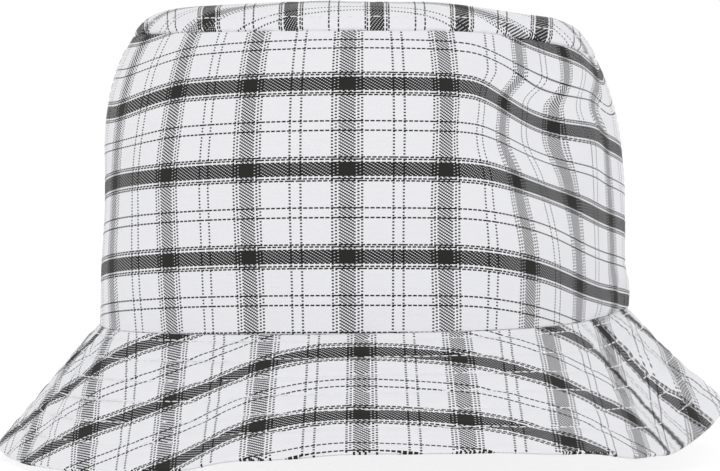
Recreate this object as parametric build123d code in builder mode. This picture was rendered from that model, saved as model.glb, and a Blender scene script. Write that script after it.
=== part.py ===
"""A woven cotton bucket hat, unlined, standing on its brim.

Frame: millimetres, +Z up, -Y to the front of the hat, +X to the wearer's left. The origin is the
middle of the head opening, in the plane where the crown is sewn to the brim. A heading goes round
the hat in degrees: 0 is the front, 90 is +X, 180 the back and 270 is -X.

The crown is a tip and two side panels, sewn at the sides. The brim is an upper cloth, a stiff
interlining and an under cloth, each in a front and a back half. Inside are a sweatband, woven
tapes over the seams, and two blank labels, one of which hangs free and swings.
"""

import os
from math import cos, exp, pi, radians, sin

from build123d import *

os.makedirs("parts", exist_ok=True)

# Driving dimensions, in millimetres and degrees
half_width = 88.0
half_depth = 98.0
crown_height = 91.0
crown_lean = 12.0
shoulder_rise = 8.5
shoulder_reach = 4.2
dome_rise = 2.6
dome_rings = 12
dome_middle = 10.0
brim_length = 52.0

# Thicknesses
cloth = 0.6
interlining = 0.5
thread = 0.35
gap = 0.1
trim_gap = 0.3
thread_gap = 0.15

# Set of the soft body: the tip sinks to the wearer's left, and the wall rounds in at the top
tip_fall = 0.045
tip_rise_front = 0.012
wall_roundness = 4.5

# Bumps of the soft body, each as its size, its middle heading and its reach to either side:
# the wall is pushed out and dented at the front, the brim seam sags on one side and is pushed up
# on the other, the brim is cut shorter in front, and it crumples on one side
front_push = (2.5, 300, 28)
front_dent = (4.0, 60, 28)
seam_sag = (3.5, 270, 110)
seam_lift = (2.3, 92, 40)
brim_trim = (1.8, 0, 65)
brim_take_up = (7.5, 91, 37)

# Slope of the brim below level at headings round the hat
brim_droop = [
    (0, 39), (15, 39.5), (30, 42), (45, 48), (55, 49.5), (66, 42), (76, 41), (90, 47),
    (120, 48), (150, 52), (180, 45), (210, 52), (240, 47), (270, 49.5), (285, 48.5), (300, 51.5),
    (315, 52), (330, 49.5), (345, 42), (360, 39),
]

# Trims
sweatband_height = 30.0
sweatband_thickness = 1.2
seam_allowance = 6.0
tape_thickness = 0.5
tape_width = 12.0
tape_drop = 9.0
tape_lift = 1.0
tape_clearance = 0.01
tape_top = 0.88
topstitch_step = 3.0
stitch_width = 0.5
first_stitch = 2.5
stitch_pitch = 7.8
stitch_rows = 6
seam_stitch_spread = 3.0
seam_stitch_low = 0.02
seam_stitch_high = 0.98
label_thickness = 0.4
main_label_width = 46.0
main_label_height = 20.0
care_label_width = 18.0
care_label_length = 24.0
care_label_heading = 222.0
care_label_drop = 1.5
care_label_stand = 1.1

# Stations round the hat; each half ends just short of its side seam
front_half = [-89.9, *range(-85, 90, 5), 89.9]
back_half = [90.1, *range(95, 270, 5), 269.9]
full_turn = [180.1, 182.5, *range(185, 540, 5), 537.5, 539.9]


def bump(heading, size, middle, reach):
    """A smooth bump round the hat: its size at the middle heading, 0 beyond the reach."""
    away = (heading - middle + 180) % 360 - 180
    return size * cos(pi / 2 * away / reach) ** 2 if abs(away) < reach else 0.0


def droop(heading):
    """Slope of the brim in degrees, eased between the stated headings."""
    heading = heading % 360
    for (start, low), (end, high) in zip(brim_droop, brim_droop[1:]):
        if start <= heading <= end:
            ease = (1 - cos(pi * (heading - start) / (end - start))) / 2
            return low + (high - low) * ease


def stray(heading):
    """How far the head opening's outline stands outside a plain ellipse."""
    return bump(heading, *front_push) - bump(heading, *front_dent)


def seam_level(heading):
    """Height of the brim seam, which isn't quite level on the soft hat."""
    return bump(heading, *seam_lift) - bump(heading, *seam_sag)


def opening_plane(heading):
    """Upright plane across the wall: origin on the brim seam, local x outward, local y up."""
    turn = radians(heading)
    outward = Vector(half_depth * sin(turn), -half_width * cos(turn), 0).normalized()
    seam = Vector(half_width * sin(turn), -half_depth * cos(turn), seam_level(heading))
    return Plane(
        origin=seam + outward * stray(heading),
        x_dir=outward,
        z_dir=outward.cross(Vector(0, 0, 1)),
    )


def wall_top(heading):
    """Height of the side panel's upper edge, which lies in the tilted plane of the tip."""
    x = (half_width - crown_lean) * sin(radians(heading))
    y = -(half_depth - crown_lean) * cos(radians(heading))
    return crown_height - tip_fall * x - tip_rise_front * y


def wall_point(heading, share, inset):
    """Local point of the crown wall at a share of its height, moved inward by the inset."""
    lean = (crown_lean + stray(heading)) * share**wall_roundness
    return (-lean - inset, (wall_top(heading) - seam_level(heading)) * share)


def wall_outline(heading, low, high, inset, thickness):
    """Closed outline of a strip of the crown wall between two shares of its height."""
    pieces = 1 + round(10 * (high - low))
    shares = [low + (high - low) * k / pieces for k in range(pieces + 1)]
    outer = [wall_point(heading, share, inset) for share in shares]
    inner = [wall_point(heading, share, inset + thickness) for share in reversed(shares)]
    return outer + inner


def brim_outline(heading, corners):
    """Closed outline of a strip of the brim, from corners given as a reach down the slope
    and a level above the brim's upper face. Where the cloth crumples, it takes up reach.
    """
    slope = radians(droop(heading))
    spread = 1 - bump(heading, *brim_take_up) / brim_length
    spread *= 1 - bump(heading, *brim_trim) / brim_length
    return [
        (
            spread * reach * cos(slope) + level * sin(slope),
            level * cos(slope) - spread * reach * sin(slope),
        )
        for reach, level in corners
    ]


def strip(reach, end, level, thickness):
    """Corners of a flat strip of the brim whose upper face is at the level."""
    return [(reach, level), (end, level), (end, level - thickness), (reach, level - thickness)]


def tip_plane(level):
    """Plane parallel to the seam round the tip, at a level above it."""
    seam_plane = Plane(
        origin=(0, 0, crown_height),
        x_dir=(1, 0, -tip_fall),
        z_dir=(tip_fall, tip_rise_front, 1),
    )
    return seam_plane.offset(level)


def tip_radii(inset):
    """Half width and half depth of the tip, at an inset from the outside of the wall."""
    return (half_width - crown_lean - inset, half_depth - crown_lean - inset)


def dome_level(inset):
    """Height of the tip above its seam at an inset: a round shoulder, then a low dome."""
    shoulder = shoulder_rise * (1 - exp(-inset / shoulder_reach))
    return shoulder + dome_rise * (1 - (1 - inset / tip_radii(0)[0]) ** 2)


def tip_rings(inset, sink):
    """Rings up the domed tip as (inset, level): a turned-down edge, then the dome."""
    last = tip_radii(0)[0] - dome_middle
    steps = [(ring / dome_rings) ** 2 * last for ring in range(dome_rings + 1)]
    dome = [(inset + step, dome_level(step) - sink) for step in steps]
    return [(inset, -seam_allowance - 2 * sink)] + dome


# ---------------------------------------------------------------- crown

with BuildPart() as crown_front_panel:
    for heading in front_half:
        with BuildSketch(opening_plane(heading)):
            with BuildLine():
                Polyline(wall_outline(heading, 0, 1, 0, cloth), close=True)
            make_face()
    loft()
crown_front_panel.part.label = "crown_front_panel"
export_step(crown_front_panel.part, "parts/crown_front_panel.step")

with BuildPart() as crown_back_panel:
    for heading in back_half:
        with BuildSketch(opening_plane(heading)):
            with BuildLine():
                Polyline(wall_outline(heading, 0, 1, 0, cloth), close=True)
            make_face()
    loft()
crown_back_panel.part.label = "crown_back_panel"
export_step(crown_back_panel.part, "parts/crown_back_panel.step")

with BuildPart() as crown_tip:
    for inset, level in tip_rings(cloth + gap, 0):
        with BuildSketch(tip_plane(level)):
            Ellipse(*tip_radii(inset))
    loft(ruled=True)
    for inset, level in tip_rings(2 * cloth + gap, cloth):
        with BuildSketch(tip_plane(level)):
            Ellipse(*tip_radii(inset))
    loft(ruled=True, mode=Mode.SUBTRACT)
crown_tip.part.label = "crown_tip"
export_step(crown_tip.part, "parts/crown_tip.step")

# ---------------------------------------------------------------- brim

interlining_level = -(cloth + gap)
under_level = -(cloth + gap + interlining + gap)
brim_thickness = cloth - under_level
turn_end = (gap - brim_thickness) / 2
edge = brim_length - cloth

upper_corners = [
    (gap, 0), (brim_length, 0), (brim_length, turn_end),
    (edge, turn_end), (edge, -cloth), (gap, -cloth),
]
interlining_corners = strip(2 * cloth, edge - gap, interlining_level, interlining)
under_corners = [
    (gap, under_level), (edge, under_level), (edge, turn_end - gap),
    (brim_length, turn_end - gap), (brim_length, -brim_thickness), (gap, -brim_thickness),
]

for side, headings in (("front", front_half), ("back", back_half)):
    with BuildPart() as brim_top:
        for heading in headings:
            with BuildSketch(opening_plane(heading)):
                with BuildLine():
                    Polyline(brim_outline(heading, upper_corners), close=True)
                make_face()
        loft()
    brim_top.part.label = f"brim_top_{side}"
    export_step(brim_top.part, f"parts/brim_top_{side}.step")

    with BuildPart() as brim_interlining:
        for heading in headings:
            with BuildSketch(opening_plane(heading)):
                with BuildLine():
                    Polyline(brim_outline(heading, interlining_corners), close=True)
                make_face()
        loft()
    brim_interlining.part.label = f"brim_interlining_{side}"
    export_step(brim_interlining.part, f"parts/brim_interlining_{side}.step")

    with BuildPart() as brim_under:
        for heading in headings:
            with BuildSketch(opening_plane(heading)):
                with BuildLine():
                    Polyline(brim_outline(heading, under_corners), close=True)
                make_face()
        loft()
    brim_under.part.label = f"brim_under_{side}"
    export_step(brim_under.part, f"parts/brim_under_{side}.step")

# ---------------------------------------------------------------- threads

# Each row of brim stitching is a needle thread above the brim and a bobbin thread below it
for row in range(1, stitch_rows + 1):
    reach = first_stitch + (row - 1) * stitch_pitch
    with BuildPart() as brim_stitch_row:
        for level in (thread_gap + thread, -brim_thickness - thread_gap):
            for headings in (front_half, back_half):
                for heading in headings:
                    corners = strip(reach, reach + stitch_width, level, thread)
                    with BuildSketch(opening_plane(heading)):
                        with BuildLine():
                            Polyline(brim_outline(heading, corners), close=True)
                        make_face()
                loft()
    brim_stitch_row.part.label = f"brim_stitch_row_{row}"
    export_step(brim_stitch_row.part, f"parts/brim_stitch_row_{row}.step")

with BuildPart() as tip_topstitch:
    topstitch_inset = cloth + gap + topstitch_step - thread_gap
    with BuildSketch(tip_plane(dome_level(topstitch_step))):
        Ellipse(*tip_radii(topstitch_inset - stitch_width))
        Ellipse(*tip_radii(topstitch_inset), mode=Mode.SUBTRACT)
    extrude(amount=thread)
tip_topstitch.part.label = "tip_topstitch"
export_step(tip_topstitch.part, "parts/tip_topstitch.step")

wall_turn_per_mm = 180 / (pi * half_depth)

for side, seam_heading in (("right", 270), ("left", 90)):
    with BuildPart() as side_topstitch:
        for away in (-seam_stitch_spread, seam_stitch_spread):
            start = seam_heading + (away - stitch_width / 2) * wall_turn_per_mm
            end = seam_heading + (away + stitch_width / 2) * wall_turn_per_mm
            for heading in (start, end):
                with BuildSketch(opening_plane(heading)):
                    with BuildLine():
                        Polyline(
                            wall_outline(
                                heading, seam_stitch_low, seam_stitch_high, -gap - thread, thread
                            ),
                            close=True,
                        )
                    make_face()
            loft()
    side_topstitch.part.label = f"{side}_side_topstitch"
    export_step(side_topstitch.part, f"parts/{side}_side_topstitch.step")

# ---------------------------------------------------------------- inside trims

sweatband_inset = cloth + trim_gap
sweatband_low = 0.02
sweatband_high = sweatband_low + sweatband_height / crown_height
label_inset = sweatband_inset + sweatband_thickness + gap

with BuildPart() as sweatband:
    for heading in full_turn:
        with BuildSketch(opening_plane(heading)):
            with BuildLine():
                Polyline(
                    wall_outline(
                        heading, sweatband_low, sweatband_high, sweatband_inset, sweatband_thickness
                    ),
                    close=True,
                )
            make_face()
    loft()
sweatband.part.label = "sweatband"
export_step(sweatband.part, "parts/sweatband.step")

with BuildPart() as sweatband_stitch:
    stitch_low = sweatband_low + 2 * stitch_width / crown_height
    stitch_high = stitch_low + stitch_width / crown_height
    for heading in full_turn:
        with BuildSketch(opening_plane(heading)):
            with BuildLine():
                Polyline(
                    wall_outline(heading, stitch_low, stitch_high, label_inset, thread), close=True
                )
            make_face()
    loft()
sweatband_stitch.part.label = "sweatband_stitch"
export_step(sweatband_stitch.part, "parts/sweatband_stitch.step")

tape_low = sweatband_high + tape_clearance

for side, seam_heading in (("right", 270), ("left", 90)):
    with BuildPart() as side_seam_tape:
        half_turn = tape_width / 2 * wall_turn_per_mm
        for heading in (seam_heading - half_turn, seam_heading, seam_heading + half_turn):
            with BuildSketch(opening_plane(heading)):
                with BuildLine():
                    Polyline(
                        wall_outline(
                            heading, tape_low, tape_top, sweatband_inset, tape_thickness
                        ),
                        close=True,
                    )
                make_face()
        loft()
    side_seam_tape.part.label = f"{side}_seam_tape"
    export_step(side_seam_tape.part, f"parts/{side}_seam_tape.step")

with BuildPart() as tip_seam_tape:
    tape_inset = 2 * cloth + gap + trim_gap
    with BuildSketch(tip_plane(-tape_drop)):
        Ellipse(*tip_radii(tape_inset))
        Ellipse(*tip_radii(tape_inset + tape_thickness), mode=Mode.SUBTRACT)
    extrude(amount=tape_drop - tape_lift)
tip_seam_tape.part.label = "tip_seam_tape"
export_step(tip_seam_tape.part, "parts/tip_seam_tape.step")

with BuildPart() as main_label:
    half_turn = main_label_width / 2 * 180 / (pi * half_width)
    label_low = sweatband_low + (sweatband_height - main_label_height) / 2 / crown_height
    label_high = label_low + main_label_height / crown_height
    for share in (-1, -0.5, 0, 0.5, 1):
        heading = 180 + share * half_turn
        with BuildSketch(opening_plane(heading)):
            with BuildLine():
                Polyline(
                    wall_outline(heading, label_low, label_high, label_inset, label_thickness),
                    close=True,
                )
            make_face()
    loft()
main_label.part.label = "main_label"
export_step(main_label.part, "parts/main_label.step")

# The care label hangs plumb from the sweatband's upper edge and swings about that edge
care_plane = opening_plane(care_label_heading)
care_share = sweatband_high - care_label_drop / crown_height
care_reach, care_top = wall_point(care_label_heading, care_share, label_inset + care_label_stand)
care_middle = care_reach - label_thickness / 2

with BuildPart() as care_label:
    with BuildSketch(care_plane):
        with Locations((care_middle, care_top - care_label_length / 2)):
            Rectangle(label_thickness, care_label_length)
    extrude(amount=care_label_width / 2, both=True)
care_label.part.label = "care_label"
export_step(care_label.part, "parts/care_label.step")

hinge_point = care_plane.from_local_coords(Vector(care_middle, care_top, 0))
print("care label hinge point", hinge_point, "axis", care_plane.z_dir)
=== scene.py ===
"""Looks of the woven bucket hat: cloth shells, stitches, tapes and labels around the CAD frame.

Working lengths are millimetres, turned into metres as each mesh is made. A heading goes round the
hat in degrees: 0 is the front (-Y), 90 is +X, 180 the back and 270 is -X.
"""

import random
from bisect import bisect_right
from math import atan2, cos, exp, hypot, pi, radians, sin

import bmesh
import bpy
import numpy as np
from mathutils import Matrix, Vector, noise


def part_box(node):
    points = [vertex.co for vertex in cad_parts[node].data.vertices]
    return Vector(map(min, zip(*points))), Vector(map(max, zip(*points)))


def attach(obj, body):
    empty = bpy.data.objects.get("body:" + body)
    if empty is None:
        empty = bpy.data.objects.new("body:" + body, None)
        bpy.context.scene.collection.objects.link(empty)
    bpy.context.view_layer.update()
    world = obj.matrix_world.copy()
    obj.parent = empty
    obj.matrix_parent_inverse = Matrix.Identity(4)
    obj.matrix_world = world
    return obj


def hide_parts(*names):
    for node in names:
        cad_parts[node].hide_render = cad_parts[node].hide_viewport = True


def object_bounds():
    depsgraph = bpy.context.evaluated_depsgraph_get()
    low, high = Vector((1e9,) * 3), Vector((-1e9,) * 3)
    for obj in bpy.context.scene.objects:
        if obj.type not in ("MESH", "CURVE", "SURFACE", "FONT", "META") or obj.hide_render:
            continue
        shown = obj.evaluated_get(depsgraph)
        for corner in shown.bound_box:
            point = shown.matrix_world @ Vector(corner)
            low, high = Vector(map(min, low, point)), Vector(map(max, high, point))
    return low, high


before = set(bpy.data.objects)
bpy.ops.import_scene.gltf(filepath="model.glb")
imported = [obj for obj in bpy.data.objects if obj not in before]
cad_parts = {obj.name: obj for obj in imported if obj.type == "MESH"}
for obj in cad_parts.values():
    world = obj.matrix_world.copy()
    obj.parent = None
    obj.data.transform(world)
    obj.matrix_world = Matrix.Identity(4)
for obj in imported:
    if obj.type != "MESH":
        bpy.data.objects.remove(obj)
cad_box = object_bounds()

MM = 0.001

# -------- shape of the hat


def half_size(node, axis):
    """Half of a CAD node's extent along an axis, in millimetres."""
    low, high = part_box(node)
    return (high[axis] - low[axis]) / 2 / MM


CLOTH = 0.6
CROWN_LEAN = 12.0
WALL_HEIGHT = 92.0
SHOULDER_RISE = 8.5
SHOULDER_RADIUS = 4.2
DOME_RISE = 2.6
BRIM_LENGTH = 52.0
BRIM_THICKNESS = 1.8
TIP_HALF_WIDTH = half_size("crown_tip", 0) + CLOTH
TIP_HALF_DEPTH = half_size("crown_tip", 1) + CLOTH
HALF_WIDTH = TIP_HALF_WIDTH + CROWN_LEAN
HALF_DEPTH = TIP_HALF_DEPTH + CROWN_LEAN

# Slope of the brim below level at headings round the hat
BRIM_DROOP = [
    (0, 39), (15, 39.5), (30, 42), (45, 48), (55, 49.5), (66, 42), (76, 41), (90, 47),
    (120, 48), (150, 52), (180, 45), (210, 52), (240, 47), (270, 49.5), (285, 48.5), (300, 51.5),
    (315, 52), (330, 49.5), (345, 42), (360, 39),
]

# Bumps of the soft body, each as its size, its middle heading and its reach to either side. Two
# are bumps along an inset or a height as well, with a middle and a reach there
FRONT_PUSH = (2.5, 300, 28)
FRONT_DENT = (4.0, 60, 28)
SEAM_LIFT = (2.3, 92, 40)
SEAM_SAG = (3.5, 270, 110)
TIP_SAG = (7.5, 85, 62)
TIP_BULGE = (2.3, 80, 42)
TIP_BULGE_INSET = (8.5, 9.5)
RIGHT_LEAN = (1.4, 270, 70)
RIGHT_ROUNDNESS = (1.0, 270, 60)
BRIM_TRIM = (1.8, 0, 65)
BRIM_TAKE_UP = (7.5, 91, 37)
BRIM_CRUMPLE = (2.2, 74, 26)
BRIM_CREASE = (1.5, 288, 26)
WALL_CRUMPLE = (2.2, 76, 26)
WALL_CRUMPLE_HEIGHT = (5, 16)

# How fast the sag of the tip's edge fades towards its middle
SAG_FADE = 1.6

# How much less the wall leans in at its two sides, and the power of its height by which it leans
SIDE_FULLNESS = 2.3
WALL_ROUNDNESS = 4.5

# Reach down the brim at which its folds have their full height
FOLD_START = 5.0


def bell(heading, middle, reach):
    """A smooth bump: 1 at the middle heading, 0 beyond the reach on either side."""
    away = (heading - middle + 180) % 360 - 180
    return cos(pi / 2 * away / reach) ** 2 if abs(away) < reach else 0.0


def bump(heading, size, middle, reach):
    """A smooth bump round the hat: its size at the middle heading, 0 beyond the reach."""
    return size * bell(heading, middle, reach)


def hump(x, middle, reach):
    """A smooth bump along a line: 1 at the middle, 0 beyond the reach on either side."""
    away = (x - middle) / reach
    return cos(pi / 2 * away) ** 2 if abs(away) < 1 else 0.0


def line(x, start, end):
    """Straight step from 0 at the start to 1 at the end."""
    return min(1.0, max(0.0, (x - start) / (end - start)))


def ramp(x, start, end):
    """Smooth step from 0 at the start to 1 at the end, which may be the lower of the two."""
    t = line(x, start, end)
    return t * t * (3 - 2 * t)


def everywhere(x):
    """1 everywhere."""
    return 1.0


def combined(terms, heading, along):
    """Sum of terms. Each is a size, a shape round the hat and a shape along the cloth."""
    total = 0.0
    for size, (shape_round, *ends_round), (shape_along, *ends_along) in terms:
        total += size * shape_round(heading, *ends_round) * shape_along(along, *ends_along)
    return total


def signed(heading):
    """Heading within half a turn of the front."""
    return (heading + 180) % 360 - 180


def droop(heading):
    """Slope of the brim in degrees, eased between the stated headings."""
    heading = heading % 360
    for (start, low), (end, high) in zip(BRIM_DROOP, BRIM_DROOP[1:]):
        if start <= heading <= end:
            ease = (1 - cos(pi * (heading - start) / (end - start))) / 2
            return low + (high - low) * ease


def seam_frame(heading):
    """Point on the seam between crown and brim, and the outward direction, both level."""
    turn = radians(heading)
    x, y = HALF_WIDTH * sin(turn), -HALF_DEPTH * cos(turn)
    out_x, out_y = HALF_DEPTH * sin(turn), -HALF_WIDTH * cos(turn)
    size = hypot(out_x, out_y)
    out_x, out_y = out_x / size, out_y / size
    stray = bump(heading, *FRONT_PUSH) - bump(heading, *FRONT_DENT)
    return (x + out_x * stray, y + out_y * stray), (out_x, out_y), stray


def seam_level(heading):
    """Height of that seam: it sags on the wearer's right and is pushed up on the left."""
    return bump(heading, *SEAM_LIFT) - bump(heading, *SEAM_SAG)


def place(heading, outward, up):
    """Point at a distance outward of the seam and a height, in millimetres."""
    (x, y), (out_x, out_y), _ = seam_frame(heading)
    return (x + out_x * outward, y + out_y * outward, up)


def wall_top(heading):
    """Height of the tip seam, which sags on one side."""
    return WALL_HEIGHT - bump(heading, *TIP_SAG)


# Large dents and swells of the wall, in millimetres outward: a shape round the hat, in headings,
# and a shape up the wall, in shares of its height
WALL_SHAPE = [
    (-7.0, (bell, 36, 26), (hump, 0.78, 0.5)),
    (3.0, (bell, 58, 16), (hump, 0.75, 0.5)),
    (1.5, (bell, 85, 40), (hump, 0.06, 0.12)),
    (-1.6, (bell, 270, 60), (hump, 0.45, 0.35)),
]


def wall(heading, share, inset=0.0):
    """Point of the crown wall at a share of its height, moved inward by the inset."""
    stray = seam_frame(heading)[2]
    fuller = SIDE_FULLNESS * sin(radians(heading)) ** 2 - bump(heading, *RIGHT_LEAN)
    power = WALL_ROUNDNESS + bump(heading, *RIGHT_ROUNDNESS)
    lean = (CROWN_LEAN - fuller + stray) * share**power
    outward = combined(WALL_SHAPE, heading, share) - lean - inset
    return place(heading, outward, seam_level(heading) * (1 - share) + wall_top(heading) * share)


def brim(heading, reach, level=0.0):
    """Point of the brim at a reach down its slope, and a level above its upper face."""
    slope = radians(droop(heading))
    kept = front_share(heading) * (1 - bump(heading, *BRIM_TAKE_UP) / BRIM_LENGTH)
    level += folds(heading, reach)
    return place(
        heading,
        kept * reach * cos(slope) + level * sin(slope),
        seam_level(heading) + level * cos(slope) - kept * reach * sin(slope),
    )


def front_share(heading):
    """Share of the brim's full length that it has been cut to, a little less at the front."""
    return 1 - bump(heading, *BRIM_TRIM) / BRIM_LENGTH


def folds(heading, reach):
    """Soft folds that run down the whole brim where it has been crushed, at its two sides."""
    crumple = bump(heading, *BRIM_CRUMPLE) * rumple(heading, reach / 3, size=10, seed=23.0)
    crease = bump(heading, *BRIM_CREASE) * rumple(heading, reach / 6, size=6, seed=24.0)
    return (crumple + crease) * min(1.0, reach / FOLD_START)


def arc_table():
    """Length of the seam from the front to each whole degree of heading."""
    lengths = [0.0]
    for degree in range(360):
        (x0, y0), _, _ = seam_frame(degree)
        (x1, y1), _, _ = seam_frame(degree + 1)
        lengths.append(lengths[-1] + hypot(x1 - x0, y1 - y0))
    return lengths


ARC = arc_table()
TURN_PER_MM = 360 / ARC[360]


def arc(heading):
    """Signed length of the seam from the front to a heading."""
    turns, heading = divmod(heading, 360)
    low = int(heading)
    part = ARC[low] + (ARC[low + 1] - ARC[low]) * (heading - low) if low < 360 else ARC[360]
    return turns * ARC[360] + part


# Radii of the flat rings that the panels and the brim are cut from, and the extra length of weave
# that bends over the shoulder of the wall and of the tip
CROWN_CUT_RADIUS = 900.0
BRIM_CUT_RADIUS = 131.0
OVER_SHOULDER = 2.6
TIP_OVER_SHOULDER = 4.0

# How far the cloth of the front panel has slumped, across and up its own weave, in millimetres:
# a shape round the hat, in headings, and a shape up the wall, in shares of its height
CROWN_SLUMP_ACROSS = [
    (2.0, (ramp, 24, 50), (everywhere,)),
    (15.0, (ramp, 24, 50), (ramp, 0.1, 0.8)),
    (5.0, (ramp, 56, 74), (line, 1, 0)),
    (-4.5, (bell, -60, 45), (ramp, 0.45, 0.8)),
    (3.5, (bell, -66, 18), (ramp, 0.6, 0.2)),
    (-15.0, (bell, 42, 22), (ramp, 0.76, 0.88)),
    (5.5, (bell, 36, 22), (hump, 0.64, 0.14)),
    (13.0, (bell, 62, 14), (hump, 0.79, 0.15)),
    (1.6, (bell, 17, 14), (hump, 0.42, 0.45)),
    (2.8, (bell, 34, 16), (hump, 0.46, 0.26)),
    (1.8, (bell, 49, 14), (hump, 0.5, 0.3)),
]
CROWN_SLUMP_UP = [
    (9.0, (ramp, 18, 72), (everywhere,)),
    (4.5, (bell, 45, 20), (ramp, 0.35, 0.75)),
    (3.5, (bell, -64, 24), (ramp, 0.5, 0.75)),
    (-3.0, (bell, 44, 22), (ramp, 0.8, 0.9)),
    (-5.0, (ramp, 74, 86), (ramp, 0.7, 0.85)),
]

# The same for the front half of the brim, whose second shape is down its slope in millimetres
BRIM_SLUMP_ACROSS = [
    (2.2, (bell, 18, 30), (everywhere,)),
    (3.5, (bell, -57, 15), (everywhere,)),
    (2.3, (bell, -48, 30), (everywhere,)),
]
BRIM_SLUMP_UP = [
    (0.5, (everywhere,), (everywhere,)),
    (6.5, (bell, -35, 28), (everywhere,)),
    (2.0, (bell, 40, 25), (everywhere,)),
    (12.0, (ramp, 52, 64), (everywhere,)),
    (4.0, (ramp, 66, 80), (everywhere,)),
    (5.0, (bell, 62, 8), (hump, 28, 24)),
]

# Weave that fans out towards the brim's edge between the four headings
BRIM_FAN = 30.0
BRIM_FAN_RISE = (50, 62)
BRIM_FAN_FALL = (100, 66)


def crown_weave(heading, share, centre):
    """Where a point of the crown wall lies on the woven cloth, in millimetres.

    The panels are cut from a flat ring. The front one, whose centre is at heading 0, has
    slumped on the wearer's left, which carries its weave sideways and down there."""
    share += seam_level(heading) * (1 - share) / wall_top(heading)
    away = arc(heading) - arc(centre) if centre else arc(signed(heading))
    radius = CROWN_CUT_RADIUS - WALL_HEIGHT * share
    turn = away / CROWN_CUT_RADIUS
    across = radius * sin(turn)
    up = CROWN_CUT_RADIUS - radius * cos(turn) + OVER_SHOULDER * share**6
    if centre:
        return across, up
    side = signed(heading)
    across += combined(CROWN_SLUMP_ACROSS, side, share)
    up += combined(CROWN_SLUMP_UP, side, share)
    return across, up


def brim_weave(heading, reach, centre):
    """Where a point of the brim lies on the woven cloth, in millimetres.

    The front half, whose centre is at heading 0, is stretched where it is crumpled."""
    reach = reach * front_share(heading) - seam_level(heading) / sin(radians(droop(heading)))
    away = arc(heading) - arc(centre) if centre else arc(signed(heading))
    radius = BRIM_CUT_RADIUS + reach
    turn = away / BRIM_CUT_RADIUS
    across = radius * sin(turn)
    up = BRIM_CUT_RADIUS - radius * cos(turn)
    if centre:
        return across, up
    side = signed(heading)
    across += combined(BRIM_SLUMP_ACROSS, side, reach)
    up += combined(BRIM_SLUMP_UP, side, reach)
    fan = ramp(side, *BRIM_FAN_RISE) * ramp(side, *BRIM_FAN_FALL)
    up += BRIM_FAN * fan * reach / BRIM_LENGTH
    return across, up


def yarn_map(across, up, band):
    """Shifts weave lengths so that a dark band of each sett is centred on zero."""
    band_across, band_up = band
    return across - band_across, up - band_up


def uneven(x, y, size, seed):
    """Smooth noise over a flat cloth, from -1 to 1, with hollows about as wide as the size."""
    return noise.noise(Vector((x / size, y / size, seed)))


def rumple(heading, along, size, seed):
    """Smooth unevenness of soft cloth at a heading, and a length up the wall or down the brim."""
    return uneven(arc(heading), along, size, seed)


def dome_level(heading, inset):
    """Height of the tip above its seam at an inset: a round shoulder, then a low dome.

    The shoulder bulges where the tip has sagged."""
    shoulder = SHOULDER_RISE * (1 - exp(-inset / SHOULDER_RADIUS))
    bulge = bump(heading, *TIP_BULGE) * hump(inset, *TIP_BULGE_INSET)
    return shoulder + bulge + DOME_RISE * (1 - (1 - inset / TIP_HALF_WIDTH) ** 2)


def tip(heading, inset, lift=0.0):
    """Point of the domed tip at an inset from its seam, lifted off its upper face."""
    x, y, z = wall(heading, 1.0)
    shrink = 1 - inset / TIP_HALF_WIDTH
    step = 0.1
    slope = atan2(dome_level(heading, inset + step) - dome_level(heading, inset), step)
    level = WALL_HEIGHT - (WALL_HEIGHT - z) * shrink**SAG_FADE + dome_level(heading, inset)
    _, (out_x, out_y), _ = seam_frame(heading)
    side = lift * sin(slope)
    return (x * shrink + out_x * side, y * shrink + out_y * side, level + lift * cos(slope))


def tip_weave(heading, inset):
    """Where a point of the tip lies on its cloth, whose weft runs from front to back."""
    x, y, _ = tip(heading, inset)
    over_shoulder = TIP_OVER_SHOULDER * exp(-inset / SHOULDER_RADIUS)
    turn = radians(heading)
    return -y + over_shoulder * cos(turn), x + over_shoulder * sin(turn) ** 3


# -------- colours and yarns

BLACK = (0, 0, 0, 1)
COTTON_WHITE = (0.80, 0.80, 0.825, 1)
COTTON_BLACK = (0.017, 0.017, 0.0155, 1)
THREAD_WHITE = (0.86, 0.86, 0.87, 1)
TWILL_WHITE = (0.82, 0.81, 0.78, 1)
TAPE_WHITE = (0.84, 0.84, 0.83, 1)
FIBRE_DARK = (0.62, 0.62, 0.60, 1)
FIBRE_LIGHT = (0.85, 0.85, 0.83, 1)
SATIN_WHITE = (0.88, 0.87, 0.84, 1)

# Yarns of the plaid: their pitch in millimetres, how far the dyed ones spread over their
# neighbours, and the sett, counted in yarns from the middle of a dark band
WARP_PITCH = 0.55
WEFT_PITCH = 0.33
DYED_SPREAD_ACROSS = 0.065
DYED_SPREAD_UP = 0.08
WARP_SETT = {"period": 56, "half_band": 4.5, "singles": (6, 8, 25)}
WEFT_SETT = {"period": 81, "half_band": 6.5, "singles": (9, 11, 36)}

# Length of one turn of the thread's plies, and width of one float of the satin
THREAD_LAY = 0.45
SATIN_FLOAT = 0.25

# -------- node helpers


def new_material(name):
    """Material with a Principled shader, and its node tree."""
    material = bpy.data.materials.new(name)
    material.use_nodes = True
    tree = material.node_tree
    return material, tree, tree.nodes["Principled BSDF"]


def plug(tree, socket, value):
    """Links a socket to an input, or sets the input to a plain value."""
    if isinstance(value, bpy.types.NodeSocket):
        tree.links.new(value, socket)
    else:
        socket.default_value = value


def maths(tree, operation, first, second=0.0, third=0.0):
    """Output of a Math node."""
    node = tree.nodes.new("ShaderNodeMath")
    node.operation = operation
    for socket, value in zip(node.inputs, (first, second, third)):
        plug(tree, socket, value)
    return node.outputs[0]


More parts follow.
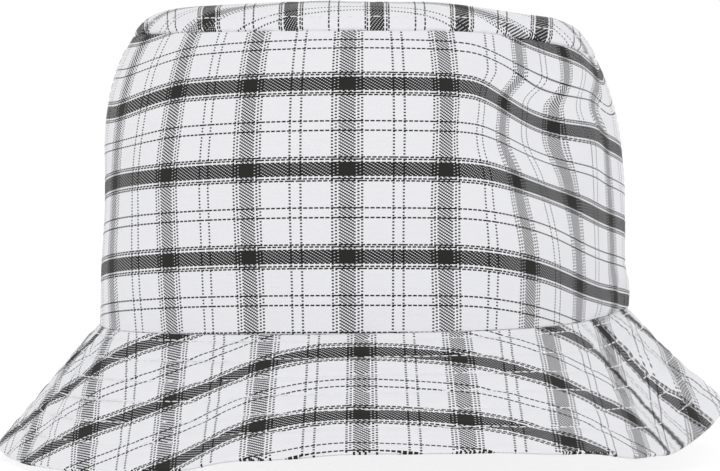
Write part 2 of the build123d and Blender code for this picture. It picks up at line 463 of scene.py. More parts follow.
def blend_colours(tree, factor, low, high):
    """Colour between two, by a factor from 0 to 1."""
    node = tree.nodes.new("ShaderNodeMix")
    node.data_type = "RGBA"
    plug(tree, node.inputs[0], factor)
    plug(tree, node.inputs[6], low)
    plug(tree, node.inputs[7], high)
    return node.outputs[2]


def paint(tree, shader, shade, colour):
    """Gives a surface a colour, darkened by a shade from 0 to 1."""
    tree.links.new(blend_colours(tree, shade, BLACK, colour), shader.inputs["Base Color"])


def cloth_coordinates(tree):
    """The two lengths along the cloth, in millimetres, from the mesh's cloth map."""
    source = tree.nodes.new("ShaderNodeUVMap")
    source.uv_map = "cloth"
    split = tree.nodes.new("ShaderNodeSeparateXYZ")
    tree.links.new(source.outputs[0], split.inputs[0])
    return split.outputs[0], split.outputs[1]


def cloth_noise(tree, across, up, across_size, up_size):
    """Smooth noise over the cloth, from 0 to 1, with its own grain size in each direction."""
    place_node = tree.nodes.new("ShaderNodeCombineXYZ")
    plug(tree, place_node.inputs[0], maths(tree, "DIVIDE", across, across_size))
    plug(tree, place_node.inputs[1], maths(tree, "DIVIDE", up, up_size))
    node = tree.nodes.new("ShaderNodeTexNoise")
    node.inputs["Scale"].default_value = 1.0
    node.inputs["Detail"].default_value = 3.0
    tree.links.new(place_node.outputs[0], node.inputs["Vector"])
    return node.outputs[0]


def add_bump(tree, shader, height, distance, strength):
    """Raises a surface by a height from 0 to 1, over a distance in millimetres."""
    node = tree.nodes.new("ShaderNodeBump")
    node.inputs["Strength"].default_value = strength
    node.inputs["Distance"].default_value = distance * MM
    tree.links.new(height, node.inputs["Height"])
    tree.links.new(node.outputs[0], shader.inputs["Normal"])


def soft_finish(shader, roughness, sheen):
    """Matt, slightly fuzzy surface of cloth or thread."""
    shader.inputs["Roughness"].default_value = roughness
    shader.inputs["Specular IOR Level"].default_value = 0.25
    shader.inputs["Sheen Weight"].default_value = sheen
    shader.inputs["Sheen Roughness"].default_value = 0.5


def dark_yarn(tree, yarn, sett):
    """1 where a yarn of this number is black: a band in each period, and lone yarns beside it."""
    half = sett["period"] / 2
    shifted = maths(tree, "ADD", yarn, half)
    wrapped = maths(tree, "FLOORED_MODULO", shifted, sett["period"])
    distance = maths(tree, "ABSOLUTE", maths(tree, "SUBTRACT", wrapped, half))
    dark = maths(tree, "LESS_THAN", distance, sett["half_band"])
    for single in sett["singles"]:
        dark = maths(tree, "MAXIMUM", dark, maths(tree, "COMPARE", distance, single, 0.4))
    return dark


def half_wave(tree, share):
    """Round profile over a share from 0 to 1: 0 at both ends and 1 in the middle."""
    return maths(tree, "SINE", maths(tree, "MULTIPLY", share, pi))


# -------- materials


def woven_yarns(tree, across, up):
    """The yarn on top at a place on the cloth: whether it is a warp yarn, whether it is black,
    how far along its float the place is, and how far across each of the two yarns."""
    warp_place = maths(tree, "DIVIDE", across, WARP_PITCH)
    weft_place = maths(tree, "DIVIDE", up, WEFT_PITCH)
    warp = maths(tree, "FLOOR", warp_place)
    weft = maths(tree, "FLOOR", weft_place)
    warp_share = maths(tree, "SUBTRACT", warp_place, warp)
    weft_share = maths(tree, "SUBTRACT", weft_place, weft)
    turn = maths(tree, "FLOORED_MODULO", maths(tree, "ADD", warp, weft), 3.0)
    warp_on_top = maths(tree, "LESS_THAN", turn, 0.5)
    warp_dark = dark_yarn(tree, warp, WARP_SETT)
    weft_dark = dark_yarn(tree, weft, WEFT_SETT)
    difference = maths(tree, "SUBTRACT", warp_dark, weft_dark)
    dark = maths(tree, "MULTIPLY_ADD", difference, warp_on_top, weft_dark)
    along_float = maths(tree, "DIVIDE", maths(tree, "ADD", turn, warp_share), 3.0)
    return warp_on_top, dark, along_float, warp_share, weft_share


def plaid_cotton():
    """Twill woven yarn by yarn: each weft yarn passes over two warp yarns and under the third.

    The dyed yarns are plumper than the white ones, so they show over their neighbours."""
    material, tree, shader = new_material("plaid_cotton")
    across, up = cloth_coordinates(tree)
    warp_on_top, _, along_float, warp_share, weft_share = woven_yarns(tree, across, up)

    dark = 0.0
    for shift_across in (-DYED_SPREAD_ACROSS, DYED_SPREAD_ACROSS):
        for shift_up in (-DYED_SPREAD_UP, DYED_SPREAD_UP):
            beside = maths(tree, "ADD", across, shift_across)
            above = maths(tree, "ADD", up, shift_up)
            dark = maths(tree, "MAXIMUM", woven_yarns(tree, beside, above)[1], dark)

    weft_height = maths(
        tree, "MULTIPLY", half_wave(tree, weft_share), half_wave(tree, along_float)
    )
    warp_height = maths(tree, "MULTIPLY", half_wave(tree, weft_share), half_wave(tree, warp_share))
    difference = maths(tree, "SUBTRACT", warp_height, weft_height)
    height = maths(tree, "MULTIPLY_ADD", difference, warp_on_top, weft_height)

    slub = cloth_noise(tree, across, up, across_size=6.0, up_size=0.5)
    cloudy = cloth_noise(tree, across, up, across_size=30.0, up_size=30.0)
    # Painted shade: the colour darkens where the yarns dip, between them and at the ends of their
    # floats. The slub and cloudy terms are the yarns' own uneven tone.
    shade = maths(tree, "MULTIPLY_ADD", height, 0.10, 0.86)
    shade = maths(tree, "MULTIPLY_ADD", slub, 0.08, shade)
    shade = maths(tree, "MULTIPLY_ADD", cloudy, 0.03, shade)
    paint(tree, shader, shade, blend_colours(tree, dark, COTTON_WHITE, COTTON_BLACK))
    add_bump(tree, shader, height, distance=0.12, strength=0.45)
    soft_finish(shader, roughness=0.9, sheen=0.04)
    return material


def white_thread():
    """Polyester sewing thread of two plies, twisted."""
    material, tree, shader = new_material("white_thread")
    along, around = cloth_coordinates(tree)
    twist = maths(tree, "MULTIPLY_ADD", around, 2.0, maths(tree, "DIVIDE", along, THREAD_LAY))
    ply = maths(tree, "ABSOLUTE", half_wave(tree, twist))
    # Painted shade: the thread is darker in the grooves between its two plies.
    shade = maths(tree, "MULTIPLY_ADD", ply, 0.18, 0.82)
    paint(tree, shader, shade, THREAD_WHITE)
    add_bump(tree, shader, ply, distance=0.06, strength=0.6)
    soft_finish(shader, roughness=0.55, sheen=0.1)
    return material


def woven_band(name, colour, rib, lean, depth):
    """Plain band or tape with slanting or straight ribs: the pitch of the ribs, how far they
    lean for each millimetre up, and how deep they are."""
    material, tree, shader = new_material(name)
    across, up = cloth_coordinates(tree)
    slanted = maths(tree, "MULTIPLY_ADD", up, lean, across)
    ribs = maths(tree, "ABSOLUTE", half_wave(tree, maths(tree, "DIVIDE", slanted, rib)))
    picks = maths(tree, "ABSOLUTE", half_wave(tree, maths(tree, "DIVIDE", up, rib * 0.6)))
    height = maths(tree, "MULTIPLY_ADD", picks, 0.35, ribs)
    slub = cloth_noise(tree, across, up, across_size=3.0, up_size=0.8)
    # Painted shade: the band is darker in the grooves between its ribs. The slub term is the
    # yarns' own uneven tone.
    shade = maths(tree, "MULTIPLY_ADD", ribs, 0.12, 0.78)
    shade = maths(tree, "MULTIPLY_ADD", slub, 0.12, shade)
    paint(tree, shader, shade, colour)
    add_bump(tree, shader, height, depth, strength=0.6)
    soft_finish(shader, roughness=0.85, sheen=0.2)
    return material


def interlining():
    """Stiff bonded fibre cloth."""
    material, tree, shader = new_material("interlining")
    across, up = cloth_coordinates(tree)
    fibres = cloth_noise(tree, across, up, across_size=0.8, up_size=0.5)
    colour = blend_colours(tree, fibres, FIBRE_DARK, FIBRE_LIGHT)
    tree.links.new(colour, shader.inputs["Base Color"])
    add_bump(tree, shader, fibres, distance=0.15, strength=0.5)
    soft_finish(shader, roughness=0.95, sheen=0.1)
    return material


def label_satin():
    """Blank satin ribbon: close warp floats that catch the light along one direction."""
    material, tree, shader = new_material("label_satin")
    across, up = cloth_coordinates(tree)
    wave = half_wave(tree, maths(tree, "DIVIDE", across, SATIN_FLOAT))
    floats = maths(tree, "ABSOLUTE", wave)
    streak = cloth_noise(tree, across, up, across_size=0.4, up_size=7.0)
    shade = maths(tree, "MULTIPLY_ADD", streak, 0.14, 0.82)
    paint(tree, shader, shade, SATIN_WHITE)
    add_bump(tree, shader, floats, distance=0.04, strength=0.5)
    shader.inputs["Roughness"].default_value = 0.38
    shader.inputs["Anisotropic"].default_value = 0.5
    shader.inputs["Sheen Weight"].default_value = 0.15
    return material


PLAID = plaid_cotton()
SEWING_THREAD = white_thread()
TWILL_BAND = woven_band("sweatband_twill", TWILL_WHITE, rib=0.7, lean=1.0, depth=0.15)
TAPE = woven_band("seam_tape", TAPE_WHITE, rib=0.5, lean=0.0, depth=0.12)
INTERLINING = interlining()
SATIN = label_satin()

# -------- mesh helpers

# Points of a mesh across each rounded edge, and the angle in degrees from which an edge is sharp
EDGE_STEPS = 4
SHARP_ANGLE = 60


def add_piece(name, points, faces, coordinates, material, body="hat"):
    """Piece of the hat from points and cloth coordinates in millimetres."""
    mesh = bpy.data.meshes.new(name)
    mesh.from_pydata([(x * MM, y * MM, z * MM) for x, y, z in points], [], faces)
    layer = mesh.uv_layers.new(name="cloth")
    corners = np.empty(len(mesh.loops), dtype=np.int64)
    mesh.loops.foreach_get("vertex_index", corners)
    layer.data.foreach_set("uv", np.array(coordinates, dtype=np.float32)[corners].ravel())
    work = bmesh.new()
    work.from_mesh(mesh)
    bmesh.ops.recalc_face_normals(work, faces=work.faces)
    work.to_mesh(mesh)
    work.free()
    mesh.shade_smooth()
    mesh.set_sharp_from_angle(angle=radians(SHARP_ANGLE))
    mesh.materials.append(material)
    piece = bpy.data.objects.new(name, mesh)
    bpy.context.scene.collection.objects.link(piece)
    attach(piece, body)
    return piece


def shell(name, rows, columns, outer, inner, weave, material, closed=False, body="hat"):
    """Closed sheet of cloth between an outer and an inner surface.

    Both surfaces and the weave are functions of a row (usually a heading) and a column."""
    places = [(row, column) for row in rows for column in columns]
    points = [surface(*at) for surface in (outer, inner) for at in places]
    coordinates = [weave(*at) for at in places] * 2
    side, width = len(places), len(columns)

    def corner(layer, row, column):
        return layer * side + (row % len(rows)) * width + column

    faces = []
    for row in range(len(rows) if closed else len(rows) - 1):
        for column in range(width - 1):
            for layer in range(2):
                quad = [
                    corner(layer, row, column),
                    corner(layer, row + 1, column),
                    corner(layer, row + 1, column + 1),
                    corner(layer, row, column + 1),
                ]
                faces.append(quad if layer == 0 else quad[::-1])
        for column in (0, width - 1):
            faces.append([
                corner(0, row, column),
                corner(1, row, column),
                corner(1, row + 1, column),
                corner(0, row + 1, column),
            ])
    if not closed:
        for row in (0, len(rows) - 1):
            for column in range(width - 1):
                faces.append([
                    corner(0, row, column),
                    corner(0, row, column + 1),
                    corner(1, row, column + 1),
                    corner(1, row, column),
                ])
    return add_piece(f"{name}_fabric", points, faces, coordinates, material, body)


def spread(start, end, count):
    """Evenly spaced values from start to end."""
    return [start + (end - start) * k / (count - 1) for k in range(count)]


def with_edges(start, end, count, radius):
    """Values from start to end, closer together within a radius of each end."""
    near = [radius * (1 - cos(pi / 2 * k / EDGE_STEPS)) for k in range(EDGE_STEPS)]
    middle = spread(start + radius, end - radius, count)
    return [start + x for x in near] + middle + [end - x for x in reversed(near)]


def roll(edge_distance, radius):
    """How far a rounded edge has turned away, at a distance from the very edge."""
    short = max(0.0, radius - max(0.0, edge_distance))
    return radius - (radius**2 - short**2) ** 0.5


# -------- threads

THREAD = 0.4
STITCH_LENGTH = 2.6
STITCH_PITCH = 3.0
STITCH_JITTER = 0.12
STITCH_RINGS = 7
STITCH_SIDES = 6

# A stitch's arch above the cloth and depth in it, in thread radii, and its thickness at the ends
STITCH_ARCH = 1.1
STITCH_DEPTH = 0.75
STITCH_END = 0.55


def stitch_row(name, runs):
    """Row of machine stitches. A run is a list of (point, raised point), close together: the
    line that the thread follows on the cloth, and the same line raised by a millimetre."""
    random.seed(len(name) + sum(map(ord, name)))
    points, faces, coordinates = [], [], []
    for run in runs:
        places = [Vector(p) for p, _ in run]
        normals = [(Vector(q) - Vector(p)).normalized() for p, q in run]
        lengths = [0.0]
        for a, b in zip(places, places[1:]):
            lengths.append(lengths[-1] + (b - a).length)

        def at(distance):
            distance = min(max(distance, 0.0), lengths[-1])
            low = min(bisect_right(lengths, distance) - 1, len(lengths) - 2)
            part = (distance - lengths[low]) / (lengths[low + 1] - lengths[low])
            normal = normals[low].lerp(normals[low + 1], part)
            return places[low].lerp(places[low + 1], part), normal

        for k in range(int(lengths[-1] / STITCH_PITCH)):
            start = k * STITCH_PITCH + random.uniform(-STITCH_JITTER, STITCH_JITTER)
            slant = random.uniform(-STITCH_JITTER, STITCH_JITTER)
            add_stitch(points, faces, coordinates, at, start, slant)
    piece = add_piece(f"{name}_threads", points, faces, coordinates, SEWING_THREAD)
    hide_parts(name)


def add_stitch(points, faces, coordinates, at, start, slant):
    """One stitch: a short thread that rises from the cloth, lies along it and dives back."""
    radius = THREAD / 2
    step = 0.3
    base = len(points)
    for ring in range(STITCH_RINGS):
        share = ring / (STITCH_RINGS - 1)
        along = start + share * STITCH_LENGTH
        middle, normal = at(along)
        forward = (at(along + step)[0] - at(along - step)[0]).normalized()
        sideways = forward.cross(normal).normalized()
        lift = radius * (STITCH_ARCH * sin(pi * share) ** 0.6 - STITCH_DEPTH)
        centre = middle + normal * lift + sideways * slant * (2 * share - 1)
        thin = STITCH_END + (1 - STITCH_END) * sin(pi * share) ** 0.5
        for side in range(STITCH_SIDES):
            turn = 2 * pi * side / STITCH_SIDES
            out = sideways * cos(turn) + normal * sin(turn)
            points.append(tuple(centre + out * radius * thin))
            coordinates.append((along, side / STITCH_SIDES))
    for ring in range(STITCH_RINGS - 1):
        for side in range(STITCH_SIDES):
            a = base + ring * STITCH_SIDES + side
            b = base + ring * STITCH_SIDES + (side + 1) % STITCH_SIDES
            faces.append((a, b, b + STITCH_SIDES, a + STITCH_SIDES))
    faces.append([base + side for side in reversed(range(STITCH_SIDES))])
    last = base + (STITCH_RINGS - 1) * STITCH_SIDES
    faces.append([last + side for side in range(STITCH_SIDES)])


# -------- crown

# Headings between which the two halves of the crown and the brim lie
FRONT = (-90.0, 90.0)
BACK = (90.0, 270.0)

# Radii to which cut and sewn edges are rounded, and the width in degrees at a side seam
EDGE_ROLL = 0.85
SEAM_ROLL = 0.35
SIDE_EDGE = 0.25

# Where a dark band of the plaid crosses the weave lengths of the crown, brim and tip
CROWN_BAND = (-5.0, 23.0)
BRIM_BAND = (0.0, 18.7)
TIP_BAND = (63.4, 4.1)

# Heights of the unevenness of the wall and of the tip, and of the gathers along their seams, and
# the distance over which the gathers die away
WALL_SOFTNESS = 0.45
WALL_GATHER = 0.16
TIP_SOFTNESS = 0.5
TIP_GATHER = 0.22
GATHER_FADE = 5.0

# Points of the meshes round the hat, and up the wall or down the brim
PANEL_ROUND = 235
PANEL_UP = 70
BRIM_ROUND = 395
BRIM_DOWN = 84
ROUND = 360
STITCH_POINTS = 721


def side_seam(heading):
    """Distance along the seam of the head opening to the nearer side seam."""
    return abs(abs(signed(heading)) - 90) / TURN_PER_MM


def crown_relief(heading, share):
    """Unevenness of the unlined crown wall, with small gathers along its two seams.

    Low on the wearer's left, where the brim is crumpled, the wall is crumpled too."""
    height = WALL_HEIGHT * share
    near_seam = exp(-height / GATHER_FADE) + exp(-(WALL_HEIGHT - height) / GATHER_FADE)
    soft = WALL_SOFTNESS * rumple(heading, height, size=30, seed=1.0)
    gathers = WALL_GATHER * rumple(heading, height / 2.5, size=3.5, seed=4.0) * near_seam
    crumple = bump(heading, *WALL_CRUMPLE) * rumple(heading, height, size=9, seed=21.0)
    return soft + gathers + crumple * hump(height, *WALL_CRUMPLE_HEIGHT)


def crown_surface(heading, share, depth=0.0):
    """Point of the crown panels at a depth below their outer face."""
    height = WALL_HEIGHT * share
    turned = roll(height, SEAM_ROLL) + roll(WALL_HEIGHT - height, SEAM_ROLL)
    turned += roll(side_seam(heading), SEAM_ROLL)
    return wall(heading, share, turned + depth - crown_relief(heading, share))


def crown_panel(name, ends, centre):
    """Half of the crown wall."""

    def weave(heading, share):
        across, up = crown_weave(heading, share, centre)
        return yarn_map(across, up, CROWN_BAND)

    piece = shell(
        name,
        with_edges(*ends, PANEL_ROUND, SIDE_EDGE),
        with_edges(0, 1, PANEL_UP, SEAM_ROLL / WALL_HEIGHT),
        crown_surface,
        lambda heading, share: crown_surface(heading, share, CLOTH),
        weave,
        PLAID,
    )
    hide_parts(name)


# Edge of the tip: how deep it turns down, how far it is tucked in at the seam and how fast that
# fades, and the slight lip beyond
TIP_TURNING = 6.0
TIP_TUCK = 0.9
TUCK_FADE = 0.4
LIP_SWELL = 0.2
LIP_STEP = 1.2
TIP_STITCH_STEP = 3.0


def tip_section(heading, step):
    """Inset and level on the tip at a step inward of its seam. Below 0 is the turned-down edge."""
    if step < 0:
        return TIP_TUCK, step
    lip = TIP_TUCK * exp(-step / TUCK_FADE)
    lip -= LIP_SWELL * exp(-(((step - LIP_STEP) / LIP_STEP) ** 2))
    return step + lip, dome_level(heading, step)


def tip_surface(heading, step, depth=0.0):
    """Point of the tip at a depth below its upper face."""
    inset, level = tip_section(heading, step)
    if step <= 0:
        _, (out_x, out_y), _ = seam_frame(heading)
        x, y, z = wall(heading, 1.0)
        reach = inset + depth
        return (x - out_x * reach, y - out_y * reach, z + level)
    inset = max(0.0, inset)
    x, y, z = tip(heading, inset, -depth)
    soft = TIP_SOFTNESS * rumple(heading, step, size=26, seed=7.0) * min(1.0, step / 12)
    gathers = TIP_GATHER * rumple(heading, step / 3, size=4.0, seed=8.0)
    gathers *= exp(-step / GATHER_FADE)
    return (x, y, z + level - dome_level(heading, inset) + soft + gathers)


def crown_tip():
    """The domed oval on top. Its edge turns down inside the side panels."""
    turned_down = [-TIP_TURNING, -3.0, -1.0, -0.4]
    shoulder = [0, 0.15, 0.3, 0.5, 0.75, 1.1, 1.6, 2.2, 3, 4, 5.2, 6.6, 8.2, 10, 12, 14.5, 17]
    steps = turned_down + shoulder + spread(20, TIP_HALF_WIDTH - 0.05, 24)

    def weave(heading, step):
        across, up = tip_weave(heading, max(0.0, step))
        return yarn_map(across + min(0.0, step), up, TIP_BAND)

    piece = shell(
        "crown_tip",
        spread(0, 359, ROUND),
        steps,
        tip_surface,
        lambda heading, step: tip_surface(heading, step, CLOTH),
        weave,
        PLAID,
        closed=True,
    )
    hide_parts("crown_tip")


def tip_topstitch():
    """Row of stitches on the tip, just above its seam."""
    run = []
    for heading in spread(0, 360, STITCH_POINTS):
        point = tip_surface(heading, TIP_STITCH_STEP)
        run.append((point, tip_surface(heading, TIP_STITCH_STEP, -1.0)))
    stitch_row("tip_topstitch", [run])


SIDE_STITCH_SPREAD = 3.0
SIDE_STITCH_POINTS = 120


def side_topstitch(side, seam_heading):
    """Two rows of stitches down a side seam, one in each panel."""
    runs = []
    for away in (-SIDE_STITCH_SPREAD, SIDE_STITCH_SPREAD):
        heading = seam_heading + away * TURN_PER_MM
        run = []
        for share in spread(0.03, 0.97, SIDE_STITCH_POINTS):
            point = crown_surface(heading, share)
            run.append((point, crown_surface(heading, share, -1.0)))
        runs.append(run)
    stitch_row(f"{side}_side_topstitch", runs)


# -------- brim

FIRST_ROW = 2.5
ROW_PITCH = 7.8
ROWS = 6
ROW_REACHES = [FIRST_ROW + ROW_PITCH * row for row in range(ROWS)]
BRIM_GAP = 0.1

# Relief of the stitched brim: the channel that each row draws in, and the puckers beside it
CHANNEL_DEPTH = 0.3
CHANNEL_WIDTH = 1.0
PUCKER_HEIGHT = 0.22
PUCKER_WIDTH = 2.6
CREASE_HEIGHT = 0.22
SWELL_HEIGHT = 0.35
SWELL_FADE = 3.0


def brim_relief(heading, reach, seed):
    """Swelling of the stitched brim cloth between its rows, and the puckers beside each row."""
    nearest = min(abs(reach - row) for row in ROW_REACHES)
    relief = SWELL_HEIGHT * rumple(heading, reach, size=26, seed=seed + 6)
    relief += CREASE_HEIGHT * rumple(heading, reach * 7, size=16, seed=seed + 3)
    beside_row = exp(-((nearest / PUCKER_WIDTH) ** 2))
    relief += PUCKER_HEIGHT * rumple(heading, reach / 3, size=3.0, seed=seed) * beside_row
    relief -= CHANNEL_DEPTH * exp(-((nearest / CHANNEL_WIDTH) ** 2))
    return relief * min(1.0, reach / SWELL_FADE, (BRIM_LENGTH - reach) / SWELL_FADE)


def brim_top_surface(heading, reach, depth=0.0):
    """Point of the upper brim cloth at a depth below its face. Its edge turns down."""
    length = BRIM_LENGTH - depth
    radius = EDGE_ROLL - depth
    along = reach * length / BRIM_LENGTH
    turned = roll(length - along, radius) + roll(along, SEAM_ROLL)
    turned += roll(side_seam(heading), SEAM_ROLL)
    return brim(heading, along, brim_relief(heading, reach, seed=2.0) - depth - turned)


def brim_under_surface(heading, reach, depth=0.0):
    """Point of the under brim cloth at a depth above its face. Its edge turns up."""
    length = BRIM_LENGTH - depth
    radius = EDGE_ROLL - depth - BRIM_GAP
    along = reach * length / BRIM_LENGTH
    turned = roll(length - along, radius)
    drawn_in = min(0.0, 0.5 * brim_relief(heading, reach, seed=11.0))
    return brim(heading, along, depth + turned - BRIM_THICKNESS - drawn_in)


def brim_half(layer, ends, centre, side):
    """Front or back half of one cloth of the brim."""
    name = f"brim_{layer}_{side}"
    surface = brim_top_surface if layer == "top" else brim_under_surface

    def weave(heading, reach):
        across, up = brim_weave(heading, reach, centre)
        return yarn_map(across, up, BRIM_BAND)

    piece = shell(
        name,
        with_edges(*ends, BRIM_ROUND, SIDE_EDGE),
        with_edges(0.05, BRIM_LENGTH, BRIM_DOWN, EDGE_ROLL),
        surface,
        lambda heading, reach: surface(heading, reach, CLOTH - BRIM_GAP),
        weave,
        PLAID,
    )
    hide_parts(name)


def brim_interlining(ends, centre, side):
    """Stiff layer between the two cloths of half the brim."""
    name = f"brim_interlining_{side}"
    upper = -CLOTH - BRIM_GAP
    lower = CLOTH + BRIM_GAP - BRIM_THICKNESS
    piece = shell(
        name,
        spread(*ends, 121),
        spread(2 * CLOTH, BRIM_LENGTH - 2 * CLOTH, 40),
        lambda heading, reach: brim(heading, reach, upper),
        lambda heading, reach: brim(heading, reach, lower),
        lambda heading, reach: brim_weave(heading, reach, centre),
        INTERLINING,
    )
    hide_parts(name)


def brim_stitches():
    """Rows of stitching round the brim: needle thread above, bobbin thread below."""
    for row, reach in enumerate(ROW_REACHES, start=1):
        runs = []
        for surface in (brim_top_surface, brim_under_surface):
            run = []
            for heading in spread(0, 360, 901):
                run.append((surface(heading, reach), surface(heading, reach, -1.0)))
            runs.append(run)
        stitch_row(f"brim_stitch_row_{row}", runs)


# -------- inside trims

BAND_THICKNESS = 1.2
BAND_LOW = 0.02
BAND_HEIGHT = 30.0
BAND_INSET = CLOTH + 0.5
BAND_SLACK = 0.8
BAND_STITCH_UP = 2.0


def band_share(up):
    """Share of the wall's height at a height up the sweatband."""
    return BAND_LOW + up / WALL_HEIGHT


def band_surface(heading, up, depth=0.0):
    """Point of the sweatband's inner face at a depth behind it, with a slack upper edge."""
    sway = 1 + rumple(heading, up, size=20, seed=13.0)
    slack = BAND_SLACK * (up / BAND_HEIGHT) ** 2 * sway
    inset = BAND_INSET + BAND_THICKNESS + slack - depth
    rounded = roll(BAND_HEIGHT - up, BAND_THICKNESS / 2) + roll(up, BAND_THICKNESS / 2)
    sink = -rounded if depth == 0 else rounded
    return wall(heading, band_share(up), inset + sink)


def sweatband():
    """Folded cotton twill band round the inside of the head opening."""
    piece = shell(
        "sweatband",
        spread(0.5, 359.5, ROUND),
        with_edges(0, BAND_HEIGHT, 30, BAND_THICKNESS / 2),
        band_surface,
        lambda heading, up: band_surface(heading, up, BAND_THICKNESS),
        lambda heading, up: (arc(heading), up),
        TWILL_BAND,
        closed=True,
    )
    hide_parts("sweatband")


def sweatband_stitch():
    """Row of stitches near the lower edge of the sweatband."""
    run = []
    for heading in spread(0, 360, STITCH_POINTS):
        point = band_surface(heading, BAND_STITCH_UP)
        run.append((point, band_surface(heading, BAND_STITCH_UP, -1.0)))
    stitch_row("sweatband_stitch", [run])


TAPE_THICKNESS = 0.5
TAPE_CLEARANCE = 0.8
TAPE_BOW = 0.15
TIP_TAPE_WIDTH = 10.0
TIP_TAPE_DROP = 0.4
SIDE_TAPE_WIDTH = 12.0
SIDE_TAPE_TOP = 0.88


def seam_tape(name, rows, columns, surface, closed=False):
    """Woven tape sewn over a seam inside the crown."""
    piece = shell(
        name,
        rows,
        columns,
        surface,
        lambda row, column: surface(row, column, -TAPE_THICKNESS),
        lambda row, column: (arc(row), column * WALL_HEIGHT),
        TAPE,
        closed=closed,
    )
    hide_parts(name)


def tape_surface(lining):
    """Inner face of a tape inside the crown, past a thickness of other cloth."""

    def surface(heading, share, depth=0.0):
        bow = TAPE_BOW * rumple(heading, share * WALL_HEIGHT, size=8, seed=15.0)
        inset = lining + TAPE_CLEARANCE + bow + depth
        return wall(heading, share, inset - crown_relief(heading, share))

    return surface


def seam_tapes():
    """Tapes over the tip seam and both side seams."""
    upper = 1 - TIP_TAPE_DROP / WALL_HEIGHT
    lower = upper - TIP_TAPE_WIDTH / WALL_HEIGHT
    seam_tape(
        "tip_seam_tape",
        spread(0.5, 359.5, ROUND),
        spread(lower, upper, 12),
        tape_surface(TIP_TUCK + CLOTH),
        closed=True,
    )
    half = SIDE_TAPE_WIDTH / 2 * TURN_PER_MM
    low, high = band_share(BAND_HEIGHT + 1.0), SIDE_TAPE_TOP
    for side, heading in (("left", 90), ("right", 270)):
        seam_tape(
            f"{side}_seam_tape",
            spread(heading - half, heading + half, 13),
            spread(low, high, 50),
            tape_surface(CLOTH),
        )


LABEL_WIDTH = 46.0
LABEL_HEIGHT = 20.0
LABEL_THICKNESS = 0.4
LABEL_LIFT = 0.35
LABEL_BOW = 0.5
LABEL_BOW_FADE = 5.0
LABEL_RIPPLE = 0.1
CARE_HEADING = 222.0
CARE_WIDTH = 18.0
CARE_CURL = 0.35
CARE_RIPPLE = 0.15


def main_label():
    """Blank woven label on the sweatband at the back, bowed out from it between its ends."""

    def surface(across, up, depth=0.0):
        edge = LABEL_WIDTH / 2 - abs(across)
        bow = LABEL_BOW * (1 - exp(-edge / LABEL_BOW_FADE))
        bow += LABEL_RIPPLE * uneven(across, up, size=7, seed=17)
        height = (BAND_HEIGHT - LABEL_HEIGHT) / 2 + up
        return band_surface(180 + across * TURN_PER_MM, height, depth - LABEL_LIFT - bow)

    piece = shell(
        "main_label",
        spread(-LABEL_WIDTH / 2, LABEL_WIDTH / 2, 60),
        spread(0, LABEL_HEIGHT, 24),
        surface,
        lambda across, up: surface(across, up, LABEL_THICKNESS),
        lambda across, up: (across, up),
        SATIN,
    )
    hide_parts("main_label")


def care_label():
    """Blank label that hangs from the sweatband and swings."""
    low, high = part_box("care_label")
    middle = (low + high) / 2 / MM
    length = (high.z - low.z) / MM
    _, (out_x, out_y), _ = seam_frame(CARE_HEADING)
    half = CARE_WIDTH / 2

    def surface(across, down, depth=0.0):
        curl = CARE_CURL * (down / length) ** 2 * (across / half) ** 2
        ripple = CARE_RIPPLE * uneven(across, 0.75 * down, size=6, seed=19) * down / length
        outward = LABEL_THICKNESS / 2 - depth - curl + ripple
        x = middle.x + out_x * outward - out_y * across
        y = middle.y + out_y * outward + out_x * across
        return (x, y, high.z / MM - down)

    piece = shell(
        "care_label",
        spread(-half, half, 24),
        with_edges(0, length, 30, 0.3),
        surface,
        lambda across, down: surface(across, down, LABEL_THICKNESS),
        lambda across, down: (across, down),
        SATIN,
        body="care_label_flap",
    )
    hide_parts("care_label")


# -------- the hat

crown_panel("crown_front_panel", FRONT, 0)
crown_panel("crown_back_panel", BACK, 180)
crown_tip()
tip_topstitch()
side_topstitch("left", 90)
side_topstitch("right", 270)
for half_side, half_ends, half_centre in (("front", FRONT, 0), ("back", BACK, 180)):
    brim_half("top", half_ends, half_centre, half_side)
    brim_half("under", half_ends, half_centre, half_side)
    brim_interlining(half_ends, half_centre, half_side)
brim_stitches()
sweatband()
sweatband_stitch()
seam_tapes()
main_label()
care_label()

# -------- floor, light and camera

FLOOR_GREY = (0.22, 0.22, 0.22, 1)
WHITE = (1, 1, 1, 1)
FLOOR_GLOW = 0.8
FLOOR_SIZE = 6.0
FLOOR_DROP = 0.0015

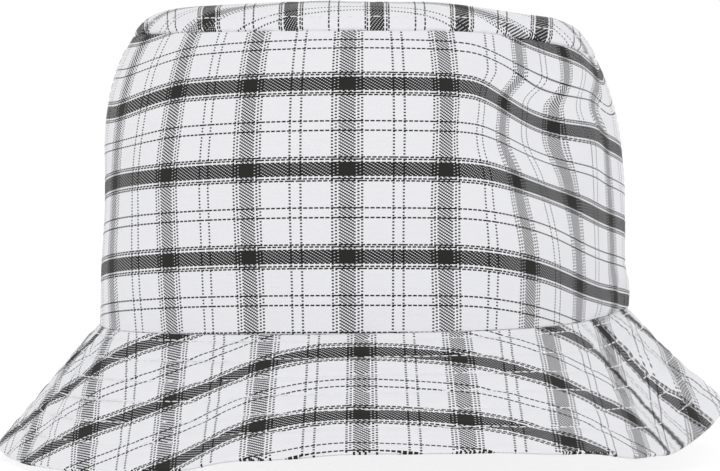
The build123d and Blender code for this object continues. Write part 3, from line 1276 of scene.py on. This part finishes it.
# Lamps: name, place, size and power
LAMPS = [
    ("key", (-0.5, -1.4, 0.9), 1.2, 2.6),
    ("fill", (1.0, -0.9, 0.6), 1.0, 0.8),
]


def studio():
    """Pale floor that shines a little itself, a white surround and two large soft lamps."""
    floor_material, _, shader = new_material("floor")
    shader.inputs["Base Color"].default_value = FLOOR_GREY
    shader.inputs["Roughness"].default_value = 0.9
    shader.inputs["Emission Color"].default_value = WHITE
    shader.inputs["Emission Strength"].default_value = FLOOR_GLOW
    mesh = bpy.data.meshes.new("floor")
    size, level = FLOOR_SIZE, cad_box[0][2] - FLOOR_DROP
    mesh.from_pydata(
        [(-size, -size, level), (size, -size, level), (size, size, level), (-size, size, level)],
        [],
        [(0, 1, 2, 3)],
    )
    mesh.materials.append(floor_material)
    floor = bpy.data.objects.new("floor", mesh)
    bpy.context.scene.collection.objects.link(floor)

    world = bpy.data.worlds.new("surround")
    world.use_nodes = True
    world.node_tree.nodes["Background"].inputs["Color"].default_value = WHITE
    world.node_tree.nodes["Background"].inputs["Strength"].default_value = 1.0
    bpy.context.scene.world = world

    for name, place_at, size, power in LAMPS:
        data = bpy.data.lights.new(name, "AREA")
        data.size = size
        data.energy = power
        lamp = bpy.data.objects.new(name, data)
        lamp.location = place_at
        lamp.rotation_euler = (-Vector(place_at)).to_track_quat("-Z", "Y").to_euler()
        bpy.context.scene.collection.objects.link(lamp)


CAMERA_SENSOR = 36.0
CAMERA_LENS = 148.6
CAMERA_PLACE = (-0.001, -1.0, 0.068)
CAMERA_AIM = (-0.001, 0.0, 0.0254)


def camera():
    """Camera at the photograph's viewpoint: in front of the hat, a little above its seam."""
    data = bpy.data.cameras.new("camera")
    data.sensor_width = CAMERA_SENSOR
    data.lens = CAMERA_LENS
    view = bpy.data.objects.new("camera", data)
    view.location = CAMERA_PLACE
    aim = Vector(CAMERA_AIM)
    view.rotation_euler = (aim - view.location).to_track_quat("-Z", "Y").to_euler()
    bpy.context.scene.collection.objects.link(view)
    bpy.context.scene.camera = view


studio()
camera()
bpy.context.scene.view_settings.view_transform = "Standard"
